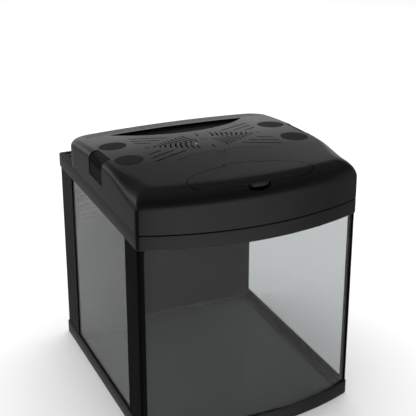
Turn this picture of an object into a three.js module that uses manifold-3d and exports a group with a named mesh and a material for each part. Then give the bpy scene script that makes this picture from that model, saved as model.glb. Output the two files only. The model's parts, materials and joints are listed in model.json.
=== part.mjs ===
// A bow-front aquarium with a hinged lighting hood, built as an assembly of separate pieces.
// Millimetres. +X is right, +Y is to the rear, +Z is up. The origin is under the middle of the
// bounding box, on the surface that the tank stands on.
import * as THREE from "three";
import { mergeVertices } from "three/addons/utils/BufferGeometryUtils.js";
import Module from "manifold-3d";

const wasm = await Module();
wasm.setup();

// ---- driving dimensions --------------------------------------------------------------------
const WIDTH = 380;
const DEPTH = 445;
const BOW = 38; // how far the middle of the front stands ahead of its corners
const SEAM_Z = 365; // top of the rim, where the hood begins
const HOOD_RISE = 71.5; // crown of the hood above the seam
const BAND = 25; // height of the rim and of the base frame
const SEAM_GAP = 1;

const HALF = WIDTH / 2;
const REAR = DEPTH / 2;
const FRONT = -DEPTH / 2;
const BOW_RADIUS = (HALF ** 2 + BOW ** 2) / (2 * BOW);
const BOW_CENTRE = FRONT + BOW_RADIUS;

const CORNER = 7; // vertical corner radius at the front
const SHELL = 3; // hood wall
const SHOULDER = 13; // radius from the hood's walls to its top
const FRONT_SHOULDER = 30; // the radius that the sides grow to at the front
const SHOULDER_GROWS = { from: -60, to: -170 };
const HOOD_REAR_CORNER = 40; // vertical corner radius of the hood at the rear
const CROWN_DROP = 5.6; // fall of the top from its middle to its sides
const SLOPE_START = -78; // behind this line the top falls away to the rear
const SLOPE = 3.57e-4;

const GLASS = 4;
const GLASS_INSET = 3;
const FLOOR_TOP = 14.3;
const GLASS_TOP = 354;
const BAND_WALL = 2.7;
const FIT = 0.3; // gap between pieces that touch

const HOOD_BASE = SEAM_Z + SEAM_GAP;
const BAR_FRONT = 122; // the rear bar runs from here to HOOD_REAR
const HOOD_REAR = 176;
const HINGE_Y = 170;
const HINGE_Z = SEAM_Z + 7;
const BARREL = 6;
const PIN_RADIUS = 2;
const PIN_CLEARANCE = 0.15;
const BRACKET_X = 131;
const BARREL_HALF = 155;
const NOTCH_RISE = 15; // lets the rear wall swing past the brackets

const FLAP_AXIS_Y = -135;
const FLAP_AXIS_Z = SEAM_Z + HOOD_RISE - 2.6;
const FLAP_TONGUE = 24.5; // half width of the hinge tongue
const FLAP_HALF = 105;
const FLAP_FRONT_INSET = 13;
const FLAP_WING = 5.2; // the wings' rear edge clears the shell as the flap turns
const FLAP_GAP = 1.1;
const FLAP_PIN = 1.2;
const DIP_HALF = 18.6; // the finger dip under the tab
const DIP_DEPTH = 6.5;
const DIP_Z = SEAM_Z + 62;
const FLAP_RELIEF = 4.1; // the tongue's rear edge turns inside this radius

const RECESS_TIP = 126;
const RECESS_FRONT = 58.4;
const PAD_RADIUS = 23;
const PADS = { rear: [146.7, 44.5], front: [148.1, -41.9] };

const FAN = { x: 62, y: 16, size: 60, height: 12, bore: 27, hub: 11 };
const FILTER = { left: -182.4, right: -92, front: 152, rear: 202, wall: 2.5, top: 335 };
const BAFFLE_X = -140;
const RISER = { x: -118, y: 186, radius: 7 };

// ---- materials -----------------------------------------------------------------------------
const FINISHES = {
  black_plastic: { color: 0x17181a, roughness: 0.42 },
  satin_black: { color: 0x1d1e20, roughness: 0.55 },
  matt_black: { color: 0x060606, roughness: 0.85 },
  rubber: { color: 0x2a2b2d, roughness: 0.9 },
  glass: { color: 0xe8f1ee, roughness: 0.03, transparent: true, opacity: 0.3 },
  clear_plastic: { color: 0xf2f6f6, roughness: 0.08, transparent: true, opacity: 0.35 },
  silicone: { color: 0x101112, roughness: 0.5 },
  white_plastic: { color: 0xe8e8e4, roughness: 0.4 },
  lamp_glass: { color: 0xf6f8ff, roughness: 0.2 },
  steel: { color: 0xb9bcc0, roughness: 0.3, metalness: 1 },
  foam: { color: 0x1f2a33, roughness: 1 },
};

const tank = new THREE.Group();

// ---- joining and cutting -------------------------------------------------------------------
function solidOf(geometry) {
  const bare = geometry.clone();
  bare.deleteAttribute("normal");
  bare.deleteAttribute("uv");
  const merged = mergeVertices(bare, 1e-3);
  const mesh = new wasm.Mesh({
    numProp: 3,
    vertProperties: merged.attributes.position.array,
    triVerts: new Uint32Array(merged.index.array),
  });
  return new wasm.Manifold(mesh);
}

function geometryOf(solid) {
  const mesh = solid.getMesh();
  const geometry = new THREE.BufferGeometry();
  geometry.setAttribute("position", new THREE.BufferAttribute(mesh.vertProperties, 3));
  geometry.setIndex(new THREE.BufferAttribute(mesh.triVerts, 1));
  geometry.computeVertexNormals();
  return geometry;
}

function add(name, solid, finish) {
  const material = new THREE.MeshStandardMaterial(FINISHES[finish]);
  const mesh = new THREE.Mesh(geometryOf(solid), material);
  mesh.name = name;
  tank.add(mesh);
}

const joined = (first, ...rest) => rest.reduce((sum, next) => sum.add(next), first);
const cut = (first, ...rest) => rest.reduce((left, next) => left.subtract(next), first);

// ---- plain shapes --------------------------------------------------------------------------
function block(x0, x1, y0, y1, z0, z1) {
  const geometry = new THREE.BoxGeometry(x1 - x0, y1 - y0, z1 - z0);
  geometry.translate((x0 + x1) / 2, (y0 + y1) / 2, (z0 + z1) / 2);
  return solidOf(geometry);
}

function prism(points, z0, z1) {
  const shape = new THREE.Shape(points);
  const geometry = new THREE.ExtrudeGeometry(shape, { depth: z1 - z0, bevelEnabled: false });
  geometry.translate(0, 0, z0);
  return solidOf(geometry);
}

// A cylinder from one end point along the axis named "x", "y" or "z".
function rod(axis, start, length, radius, sides = 16) {
  const geometry = new THREE.CylinderGeometry(radius, radius, length, sides);
  geometry.translate(0, length / 2, 0);
  if (axis === "x") geometry.rotateZ(-Math.PI / 2);
  if (axis === "z") geometry.rotateX(Math.PI / 2);
  geometry.translate(...start);
  return solidOf(geometry);
}

// A body of revolution about Z from [radius, height] pairs that start and end on the axis.
function turned(profile, x, y, sides = 20) {
  const points = profile.map(([radius, height]) => new THREE.Vector2(radius, height));
  const geometry = new THREE.LatheGeometry(points, sides);
  geometry.rotateX(Math.PI / 2);
  geometry.translate(x, y, 0);
  return solidOf(geometry);
}

const mirrored = (points) => points.map((p) => new THREE.Vector2(-p.x, p.y));

function arcPoints(centreX, centreY, radius, from, to, steps) {
  const points = [];
  for (let i = 0; i <= steps; i += 1) {
    const angle = from + ((to - from) * i) / steps;
    const x = centreX + radius * Math.cos(angle);
    const y = centreY + radius * Math.sin(angle);
    points.push(new THREE.Vector2(x, y));
  }
  return points;
}

// ---- the plan of the tank ------------------------------------------------------------------
// The y of the bowed front at x, on a line that lies inset inside the outermost one.
const bowY = (x, inset) => BOW_CENTRE - Math.sqrt((BOW_RADIUS - inset) ** 2 - x * x);

// The closed plan outline: straight sides and rear, rounded corners and a bowed front. Every call
// gives the same number of points, so outlines can be stacked into a shell.
function planLoop(inset, rear, corner = CORNER, rearCorner = 4) {
  const half = HALF - inset;
  const radius = BOW_RADIUS - inset;
  const cornerX = -(half - corner);
  const cornerY = BOW_CENTRE - Math.sqrt((radius - corner) ** 2 - cornerX ** 2);
  const turn = Math.atan2(cornerY - BOW_CENTRE, cornerX) + 2 * Math.PI;
  const sideTop = rear - rearCorner;
  const rearEnd = rearCorner - half;
  const left = [new THREE.Vector2(0, rear), new THREE.Vector2(rearEnd / 2, rear)];
  left.push(...arcPoints(rearEnd, sideTop, rearCorner, Math.PI / 2, Math.PI, 3));
  for (let i = 1; i < 6; i += 1) {
    left.push(new THREE.Vector2(-half, sideTop + ((cornerY - sideTop) * i) / 6));
  }
  left.push(...arcPoints(cornerX, cornerY, corner, Math.PI, turn, 3));
  left.push(...arcPoints(0, BOW_CENTRE, radius, turn, 1.5 * Math.PI, 10).slice(1));
  const right = mirrored(left.slice(1, -1)).reverse();
  return [...left, ...right];
}

function planRing(outer, inner, outerRear, innerRear, z0, z1) {
  const outside = prism(planLoop(outer, outerRear), z0, z1);
  return outside.subtract(prism(planLoop(inner, innerRear), z0 - 1, z1 + 1));
}

// ---- the hood's curved form ----------------------------------------------------------------
function hoodTop(x, y) {
  const behind = Math.max(0, y - SLOPE_START);
  return SEAM_Z + HOOD_RISE - CROWN_DROP * (x / HALF) ** 2 - SLOPE * behind ** 2;
}

// A closed mound under the hood's outer surface, shrunk by offset.
function mound(offset, base = HOOD_BASE) {
  const shoulderSteps = 5;
  const capSteps = 4;
  const tight = SHOULDER - offset;
  const wide = FRONT_SHOULDER - offset;
  const { from, to } = SHOULDER_GROWS;
  const frontness = (p) => 1 - THREE.MathUtils.smoothstep(p.y, to, from);
  const rings = [];
  for (let i = 0; i <= shoulderSteps; i += 1) {
    const angle = (Math.PI / 2) * (i / shoulderSteps);
    const turn = 1 - Math.cos(angle);
    const rear = HOOD_REAR - offset - tight * turn;
    const rearCorner = HOOD_REAR_CORNER - offset - tight * turn;
    const outline = (radius) => {
      const corner = Math.max(1, CORNER - offset + 0.6 * radius * turn);
      return planLoop(offset + radius * turn, rear, corner, rearCorner);
    };
    const roomy = outline(wide);
    const loop = outline(tight).map((p, k) => p.clone().lerp(roomy[k], frontness(p)));
    const drop = (p) => THREE.MathUtils.lerp(tight, wide, frontness(p)) * (1 - Math.sin(angle));
    rings.push(loop.map((p) => [p.x, p.y, hoodTop(p.x, p.y) - offset - drop(p)]));
  }
  rings.unshift(rings[0].map(([x, y]) => [x, y, base]));
  const rim = rings[rings.length - 1];
  for (let i = 1; i < capSteps; i += 1) {
    const scale = 1 - i / capSteps;
    rings.push(rim.map(([x, y]) => [x * scale, y * scale, hoodTop(x * scale, y * scale) - offset]));
  }
  return stacked(rings, [0, 0, hoodTop(0, 0) - offset]);
}

// Rings of equal length joined into a closed body: flat below the first, to a point at the last.
function stacked(rings, apex) {
  const count = rings[0].length;
  const foot = [0, 0, rings[0][0][2]];
  const positions = [...rings.flat(2), ...apex, ...foot];
  const apexIndex = rings.length * count;
  const index = [];
  for (let i = 0; i < count; i += 1) {
    const next = (i + 1) % count;
    for (let ring = 0; ring + 1 < rings.length; ring += 1) {
      const low = ring * count;
      const high = low + count;
      index.push(low + i, low + next, high + next, low + i, high + next, high + i);
    }
    const last = (rings.length - 1) * count;
    index.push(last + i, last + next, apexIndex);
    index.push(next, i, apexIndex + 1);
  }
  const geometry = new THREE.BufferGeometry();
  geometry.setAttribute("position", new THREE.Float32BufferAttribute(positions, 3));
  geometry.setIndex(index);
  return solidOf(geometry);
}

// The skin between two depths below the hood's outer surface.
const skin = (depth0, depth1) => mound(depth0).subtract(mound(depth1, HOOD_BASE - 5));

// ---- the tank ------------------------------------------------------------------------------
function buildTank() {
  const lip = planRing(0, 14, REAR, REAR - 14, 0, 9);
  const band = planRing(0, BAND_WALL, REAR, REAR - BAND_WALL, 8, BAND);
  add("base_frame", lip.add(band), "black_plastic");

  const glassRear = REAR - 5.5;
  const outline = (inset, rear, z0, z1, corner) => prism(planLoop(inset, rear, corner), z0, z1);
  const floorLevel = FLOOR_TOP - 5;
  add("bottom_glass", outline(GLASS_INSET, glassRear, floorLevel, FLOOR_TOP), "glass");

  const foot = FLOOR_TOP + FIT;
  const inner = GLASS_INSET + GLASS;
  const paneX = HALF - inner;
  const hollow = outline(inner, REAR, 0, SEAM_Z, 1);
  const bowed = outline(GLASS_INSET, REAR, foot, GLASS_TOP).subtract(hollow);
  const frontHalf = paneX - FIT;
  add("front_glass", bowed.intersect(block(-frontHalf, frontHalf, -300, 0, 0, 400)), "glass");
  const backFront = glassRear - GLASS;
  for (const [side, x0] of [["left", -paneX - GLASS], ["right", paneX]]) {
    const pane = block(x0, x0 + GLASS, -230, backFront - FIT, foot, GLASS_TOP);
    add(`${side}_glass`, pane.intersect(outline(GLASS_INSET, REAR, 0, 400)), "glass");
  }
  const backHalf = paneX + 1;
  add("back_glass", block(-backHalf, backHalf, backFront, glassRear, foot, GLASS_TOP), "glass");
  const panelFront = REAR - 20;
  const panel = block(-frontHalf, frontHalf, panelFront, backFront - FIT, foot, GLASS_TOP - 2);
  add("background_panel", panel, "matt_black");

  const bead = 2.5;
  for (const [side, sign] of [["left", -1], ["right", 1]]) {
    const x = frontHalf;
    const y = bowY(x, inner) + FIT;
    const near = [x, y];
    const along = [x - bead, bowY(x - bead, inner) + FIT];
    const corner = [near, [x, y + bead], along];
    const points = corner.map(([px, py]) => new THREE.Vector2(sign * px, py));
    add(`front_${side}_seal`, prism(points, foot, GLASS_TOP - 2), "silicone");
  }
}

function buildCovers() {
  const strip = (box) =>
    planRing(1.3, BAND_WALL, REAR - 3.5, REAR - 5.2, BAND + FIT, SEAM_Z - BAND - FIT).intersect(
      block(...box, 0, 400),
    );
  add("front_left_cover", strip([-200, -179.7, -240, -126]), "matt_black");
  add("rear_left_cover", strip([-200, -150, 154, 230]), "satin_black");
  add("front_right_trim", strip([184.8, 200, -240, -165]), "matt_black");
  add("rear_right_trim", strip([150, 200, REAR - 20, 230]), "satin_black");
}

const SHELF_FRONT = 128; // the rim's shelf reaches round the hood's rear corners
const HOSE_CUT = { x0: 150, x1: 181, y0: 190, y1: 216 };

function buildRim() {
  const band = planRing(0, BAND_WALL, REAR, REAR - BAND_WALL, SEAM_Z - BAND, SEAM_Z);
  const flange = planRing(2, 16, REAR - 2, REAR - 25, GLASS_TOP + FIT, GLASS_TOP + 3.8);
  const shelfPlan = prism(planLoop(1, REAR - 1), SEAM_Z - 4, SEAM_Z);
  const well = prism(planLoop(9, HOOD_REAR + 3, CORNER, 30), SEAM_Z - 5, SEAM_Z + 1);
  const shelf = shelfPlan.intersect(block(-200, 200, SHELF_FRONT, 230, 300, 400)).subtract(well);
  const { x0, x1, y0, y1 } = HOSE_CUT;
  const cuts = [];
  for (const sign of [-1, 1]) {
    const [low, high] = sign < 0 ? [-x1, -x0] : [x0, x1];
    cuts.push(block(low, high, y0, y1, SEAM_Z - 5, SEAM_Z + 1));
    const pocket = BRACKET_X - 14;
    const [near, far] = sign < 0 ? [-pocket - 28, -pocket] : [pocket, pocket + 28];
    cuts.push(block(near, far, HOOD_REAR, 198, SEAM_Z - 3, SEAM_Z + 1));
    add(
      sign < 0 ? "left_hose_blank" : "right_hose_blank",
      block(low + FIT, high - FIT, y0 + 5, y1 - 5, SEAM_Z - 4, SEAM_Z - 0.5).add(
        block(low + 4, high - 4, y0 + 1, y1 - 1, SEAM_Z - 7.2, SEAM_Z - 4),
      ),
      "satin_black",
    );
  }
  add("top_rim", cut(joined(band, flange, shelf), ...cuts), "black_plastic");
}

function buildHinges() {
  for (const [side, sign] of [["left", -1], ["right", 1]]) {
    const centre = sign * BRACKET_X;
    const eye = rod("x", [centre - 10, HINGE_Y, HINGE_Z], 20, 5.2);
    const neck = block(centre - 10, centre + 10, HINGE_Y, HOOD_REAR + 6, SEAM_Z - 0.5, HINGE_Z);
    const foot = block(centre - 13, centre + 13, HOOD_REAR + 3.4, 197, SEAM_Z - 2.7, SEAM_Z - 0.2);
    const hole = rod("x", [centre - 20, HINGE_Y, HINGE_Z], 40, PIN_RADIUS + PIN_CLEARANCE);
    add(`${side}_hinge_bracket`, cut(joined(eye, neck, foot), hole), "black_plastic");
    add(`${side}_hinge_pin`, rod("x", [centre - 22, HINGE_Y, HINGE_Z], 44, PIN_RADIUS), "steel");
  }
}

// ---- the filter in the rear left corner ----------------------------------------------------
function buildFilter() {
  const { left, right, front, rear, wall, top } = FILTER;
  const base = FLOOR_TOP + 2 * FIT;
  const outside = block(left, right, front, rear, base, top);
  const hollow = block(left + wall, right - wall, front + wall, rear - wall, base + wall, top + 1);
  const baffle = block(BAFFLE_X, BAFFLE_X + 2, front + 1, rear - 1, base + 1, top - 30);
  const gap = block(BAFFLE_X - 1, BAFFLE_X + 3, front + 8, rear - 8, base + wall, base + 26);
  const inlets = [];
  for (let i = 0; i < 6; i += 1) {
    const z = top - 30 - 9 * i;
    inlets.push(block(left + 8, BAFFLE_X - 4, front - 1, front + wall + 1, z, z + 4));
  }
  const box = cut(outside.subtract(hollow).add(baffle.subtract(gap)), ...inlets);
  add("filter_box", box, "satin_black");

  const lidZ = top + FIT;
  const lid = block(left, right, front, rear - 1, lidZ, lidZ + 3);
  add("filter_lid", cut(lid, rod("z", [RISER.x, RISER.y, lidZ - 1], 6, 10)), "satin_black");

  const media = [left + wall + 1, BAFFLE_X - 1, front + wall + 1, rear - wall - 1];
  add("filter_sponge", block(...media, base + wall + 1, 190), "foam");
  const basket = block(...media, 194, 290);
  const inside = block(media[0] + 2, media[1] - 2, media[2] + 2, media[3] - 2, 196, 291);
  add("media_basket", basket.subtract(inside), "white_plastic");

  const heaterX = -105;
  const heaterY = 166;
  add("heater_tube", rod("z", [heaterX, heaterY, 84], 170, 8), "glass");
  add("heater_cap", rod("z", [heaterX, heaterY, 254 + FIT], 24, 9.4), "black_plastic");
  buildPump(base + wall + FIT);
}

function buildPump(base) {
  const x0 = -136.5;
  const x1 = -96;
  const axis = { y: 177, z: base + 24 };
  const body = block(x0 + 12, x1, 157, 197, base, base + 48);
  const chamber = rod("x", [x0 + 11, axis.y, axis.z], 14, 15, 24);
  const outlet = rod("z", [RISER.x, RISER.y, axis.z], 40, 4);
  const spout = rod("z", [RISER.x, RISER.y, base + 46], 12, RISER.radius - 2.2, 12);
  add("pump_body", cut(body.add(spout), chamber, outlet), "black_plastic");

  const cover = block(x0 + 7.5, x0 + 12 - FIT, 157, 197, base, base + 48);
  add("pump_cover", cut(cover, rod("x", [x0, axis.y, axis.z], 20, 7)), "satin_black");

  const vanes = [rod("x", [x0 + 13, axis.y, axis.z], 9, 4)];
  for (let i = 0; i < 3; i += 1) {
    const vane = new THREE.BoxGeometry(8, 25, 1.6);
    vane.rotateX((Math.PI * i) / 3);
    vane.translate(x0 + 17.5, axis.y, axis.z);
    vanes.push(solidOf(vane));
  }
  add("impeller", joined(...vanes), "white_plastic");

  const hoseFoot = base + 48 + FIT;
  const hoseTop = FILTER.top - 20;
  const { x, y, radius } = RISER;
  const hose = rod("z", [x, y, hoseFoot], hoseTop - hoseFoot, radius, 12);
  add("riser_hose", hose.subtract(rod("z", [x, y, 0], 400, radius - 1.9, 12)), "rubber");

  const armZ = GLASS_TOP - 8;
  const stem = rod("z", [x, y, hoseTop + FIT], armZ - hoseTop + 4, radius, 12);
  const arm = rod("y", [x, y - 74, armZ], 74, 5.5, 12);
  const tip = block(x - 13, x + 13, y - 84, y - 70, armZ - 16, armZ + 4);
  const mouth = block(x - 11, x + 11, y - 90, y - 75, armZ - 14, armZ - 6);
  add("return_nozzle", cut(joined(stem, arm, tip), mouth), "black_plastic");
}

// ---- the hood ------------------------------------------------------------------------------
// A closed loop of points moved outwards by grow, with its corners kept sharp.
function grownLoop(loop, grow) {
  const outward = (a, b) => new THREE.Vector2(b.y - a.y, a.x - b.x).normalize();
  return loop.map((p, i) => {
    const before = loop[(i + loop.length - 1) % loop.length];
    const after = loop[(i + 1) % loop.length];
    const first = outward(before, p);
    const second = outward(p, after);
    const push = first.clone().add(second).divideScalar(1 + first.dot(second));
    return p.clone().addScaledVector(push, grow);
  });
}

function flapPoints(grow) {
  const wingY = FLAP_AXIS_Y - FLAP_WING;
  const left = [
    [0, FLAP_AXIS_Y + 2.6],
    [-FLAP_TONGUE, FLAP_AXIS_Y + 2.6],
    [-FLAP_TONGUE, wingY],
  ].map(([x, y]) => new THREE.Vector2(x, y));
  const shoulder = new THREE.CubicBezierCurve(
    new THREE.Vector2(-30, wingY),
    new THREE.Vector2(-66, wingY - 1),
    new THREE.Vector2(-FLAP_HALF, FLAP_AXIS_Y - 26),
    new THREE.Vector2(-FLAP_HALF, FLAP_AXIS_Y - 48),
  );
  const frontX = -78;
  const end = new THREE.QuadraticBezierCurve(
    new THREE.Vector2(-FLAP_HALF, FLAP_AXIS_Y - 48),
    new THREE.Vector2(-FLAP_HALF, bowY(-FLAP_HALF, FLAP_FRONT_INSET) - 1),
    new THREE.Vector2(frontX, bowY(frontX, FLAP_FRONT_INSET)),
  );
  left.push(...shoulder.getPoints(7), ...end.getPoints(5).slice(1));
  for (const x of [-52, -26, 0]) left.push(new THREE.Vector2(x, bowY(x, FLAP_FRONT_INSET)));
  return grownLoop([...left, ...mirrored(left.slice(1, -1)).reverse()], grow);
}

function crescentPoints(grow) {
  const sag = BAR_FRONT - RECESS_FRONT;
  const radius = (RECESS_TIP ** 2 + sag ** 2) / (2 * sag);
  const centreY = RECESS_FRONT + radius;
  const reach = Math.asin((RECESS_TIP + grow) / (radius + grow));
  return arcPoints(0, centreY, radius + grow, -Math.PI / 2 - reach, -Math.PI / 2 + reach, 20);
}

// A slot through the top, from one point in plan to another.
function slot(xa, ya, xb, yb, width) {
  const geometry = new THREE.BoxGeometry(Math.hypot(xb - xa, yb - ya), width, 30);
  geometry.rotateZ(Math.atan2(yb - ya, xb - xa));
  const x = (xa + xb) / 2;
  const y = (ya + yb) / 2;
  geometry.translate(x, y, hoodTop(x, y));
  return solidOf(geometry);
}

// Air slots on each half: three long lines ahead, three behind, and nine chevrons between that point
// to the middle.
function ventSlots() {
  const width = 2.2;
  const lines = [
    [110.5, 70.4, 49.9, 39.5],
    [111, 53.2, 69.2, 30.4],
    [111.1, 37.2, 86.4, 23.5],
    [112.3, -35.3, 86.4, -23.4],
    [112.2, -52.6, 68.8, -34],
    [112.7, -70, 50.2, -44],
    [97, 2, 105, 2],
  ];
  const spine = -1;
  for (let i = 0; i < 9; i += 1) {
    const tip = 14.3 + 9 * i;
    const end = 25 + 8.1 * i;
    lines.push([tip, spine, end, 37 - 4 * i], [tip, spine, end, 5.1 * i - 44.5]);
  }
  const slots = [slot(0, 24.6, 0, 38.5, width), slot(0, -46.1, 0, -33.7, width)];
  for (const [xa, ya, xb, yb] of lines) {
    slots.push(slot(xa, ya, xb, yb, width), slot(-xa, ya, -xb, yb, width));
  }
  return slots;
}

function buildHood() {
  const walls = skin(0, SHELL);
  const ahead = block(-200, 200, -300, BAR_FRONT - FIT, 300, 500);
  const lipZ = SEAM_Z - 5.5;
  const lip = planRing(3.3, 5.4, REAR, REAR, lipZ, SEAM_Z + 8);
  const shelf = planRing(2, 5.4, REAR, REAR, SEAM_Z + 3, SEAM_Z + 8);
  const lipAhead = block(-200, 200, -300, BAR_FRONT - 2, 300, 500);
  let shell = walls.intersect(ahead).add(lip.add(shelf).intersect(lipAhead));

  const underTop = mound(SHELL / 2);
  for (const [x, y] of guardPosts()) {
    const post = rod("z", [x, y, SEAM_Z + 7.8], 70, 4.5, 12).intersect(underTop);
    shell = shell.add(post).subtract(rod("z", [x, y, SEAM_Z], 22, 2.2, 12));
  }
  for (const sign of [-1, 1]) {
    const near = FLAP_TONGUE + 1;
    const [x0, x1] = sign < 0 ? [-near - 7, -near] : [near, near + 7];
    const lug = block(x0, x1, FLAP_AXIS_Y - 4, FLAP_AXIS_Y + 9, FLAP_AXIS_Z - 3.4, FLAP_AXIS_Z + 1);
    shell = shell.add(lug);
  }
  const deep = [HOOD_BASE + 45, HOOD_BASE + 90];
  const pinBore = rod("x", [-40, FLAP_AXIS_Y, FLAP_AXIS_Z], 80, FLAP_PIN + 0.15, 12);
  const reliefHalf = FLAP_TONGUE + 0.6;
  const relief = rod("x", [-reliefHalf, FLAP_AXIS_Y, FLAP_AXIS_Z], 2 * reliefHalf, FLAP_RELIEF, 24);
  const notch = block(-DIP_HALF, DIP_HALF, FRONT - 1, FRONT + 17, DIP_Z, SEAM_Z + 80);
  const bowl = new THREE.CylinderGeometry(1, 1, 18, 24);
  bowl.scale(DIP_HALF, 1, DIP_DEPTH);
  bowl.translate(0, FRONT + 8, DIP_Z);
  const fingerDip = notch.add(solidOf(bowl));
  shell = cut(
    shell,
    prism(flapPoints(FLAP_GAP), ...deep).intersect(mound(-5).subtract(mound(9))),
    pinBore,
    relief,
    fingerDip,
    prism([...crescentPoints(0), ...closeRear(0)], ...deep),
    ...ventSlots(),
  );
  const padCut = mound(-3).subtract(mound(1.3));
  const padSkin = mound(-0.2).subtract(mound(1));
  for (const [row, [x, y]] of Object.entries(PADS)) {
    for (const [side, sign] of [["left", -1], ["right", 1]]) {
      const disc = (radius) => rod("z", [sign * x, y, SEAM_Z + 30], 60, radius, 24);
      shell = shell.subtract(disc(PAD_RADIUS + 0.3).intersect(padCut));
      add(`${row}_${side}_pad`, disc(PAD_RADIUS).intersect(padSkin), "rubber");
    }
  }
  for (const sign of [-1, 1]) shell = shell.subtract(louvreBox(sign, 0));
  add("hood_shell", shell, "black_plastic");
}

const closeRear = () => [new THREE.Vector2(RECESS_TIP, 140), new THREE.Vector2(-RECESS_TIP, 140)];
const guardPosts = () => [-1, 1].map((sign) => [155 * sign, -100]);

function louvreBox(sign, grow) {
  const near = 173.5 - grow;
  const [x0, x1] = sign < 0 ? [-200, -near] : [near, 200];
  return block(x0, x1, -26 - grow, 40 + grow, SEAM_Z + 23 - grow, SEAM_Z + 69 + grow);
}

function buildLouvres() {
  const backing = skin(SHELL + FIT, SHELL + 2.3);
  const face = skin(0.8, SHELL + 1);
  for (const [side, sign] of [["left", -1], ["right", 1]]) {
    let grille = backing.intersect(louvreBox(sign, 3)).add(face.intersect(louvreBox(sign, -FIT)));
    for (let i = 0; i < 8; i += 1) {
      const y = -22.5 + 8 * i;
      const [x0, x1] = sign < 0 ? [-200, -170] : [170, 200];
      grille = grille.subtract(block(x0, x1, y, y + 4, SEAM_Z + 46, SEAM_Z + 60));
    }
    add(`${side}_vent_grille`, grille, "satin_black");
  }
}

function buildRearBar() {
  const behind = block(-200, 200, BAR_FRONT, 300, 300, 500);
  const wall = block(-124, 124, BAR_FRONT, BAR_FRONT + 2.5, SEAM_Z + 37, SEAM_Z + 90);
  let bar = skin(0, SHELL).intersect(behind).add(wall.intersect(mound(1)));
  bar = bar.subtract(block(-200, 200, HINGE_Y, 200, 300, HINGE_Z));
  bar = bar.add(rod("x", [-BARREL_HALF, HINGE_Y, HINGE_Z], 2 * BARREL_HALF, BARREL));
  const grooveSkin = mound(-2).subtract(mound(0.9));
  const grooves = [134, 144, 154].map((y) =>
    grooveSkin.intersect(block(-160, 160, y, y + 2.4, SEAM_Z + 20, 500)),
  );
  const notches = [-BRACKET_X, BRACKET_X].flatMap((x) => [
    block(x - 11, x + 11, HINGE_Y - 8, 200, 300, HINGE_Z + NOTCH_RISE),
    rod("x", [x - 24, HINGE_Y, HINGE_Z], 48, PIN_RADIUS + PIN_CLEARANCE),
  ]);
  const switchHole = block(-71, -49, 165, 200, SEAM_Z + 21, SEAM_Z + 37);
  const leadHole = rod("y", [120, 160, SEAM_Z + 29], 30, 6.2);
  add("rear_bar", cut(bar, ...grooves, ...notches, switchHole, leadHole), "black_plastic");
}

// A shallow dish just under the crescent, with slots across its floor.
function buildRecessTray() {
  const rear = BAR_FRONT - FIT;
  const limit = block(-200, 200, 0, rear, 300, 500);
  const ends = [new THREE.Vector2(RECESS_TIP, rear + 9), new THREE.Vector2(-RECESS_TIP, rear + 9)];
  const within = (solid, grow) => {
    const plan = prism([...crescentPoints(grow), ...ends], SEAM_Z + 30, SEAM_Z + 90);
    return solid.intersect(plan.intersect(limit));
  };
  const floorTop = 5.5;
  const floorBottom = 8;
  const slots = [];
  for (let i = 0; i < 6; i += 1) {
    const y = 70 + 8 * i;
    const reach = 40 + 11 * i;
    slots.push(block(-reach, reach, y, y + 3, SEAM_Z + 45, SEAM_Z + 60));
  }
  const dish = within(skin(SHELL + FIT, floorBottom), 2.4);
  add("recess_tray", cut(dish, within(skin(-5, floorTop), 0.2), ...slots), "satin_black");
}

function buildFlap() {
  const plan = prism(flapPoints(0), SEAM_Z + 30, SEAM_Z + 90);
  const plate = mound(0).subtract(mound(SHELL)).intersect(plan);
  const tongueY = [FLAP_AXIS_Y - 8, FLAP_AXIS_Y + 2.4];
  const tongue = block(-FLAP_TONGUE, FLAP_TONGUE, ...tongueY, FLAP_AXIS_Z - 2.6, FLAP_AXIS_Z + 1);
  const tabPlan = [
    [-17.6, FRONT + 15],
    [-14, FRONT + 7],
    [-6, FRONT + 3.5],
    [6, FRONT + 3.5],
    [14, FRONT + 7],
    [17.6, FRONT + 15],
  ].map(([x, y]) => new THREE.Vector2(x, y));
  const tab = prism(tabPlan, SEAM_Z + 62.5, SEAM_Z + 66.5);
  const bore = rod("x", [-40, FLAP_AXIS_Y, FLAP_AXIS_Z], 80, FLAP_PIN + 0.15, 12);
  add("feeding_flap", cut(joined(plate, tongue, tab), bore), "black_plastic");
  const pinHalf = FLAP_TONGUE + 7;
  add("flap_pin", rod("x", [-pinHalf, FLAP_AXIS_Y, FLAP_AXIS_Z], 2 * pinHalf, FLAP_PIN, 12), "steel");
}

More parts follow.
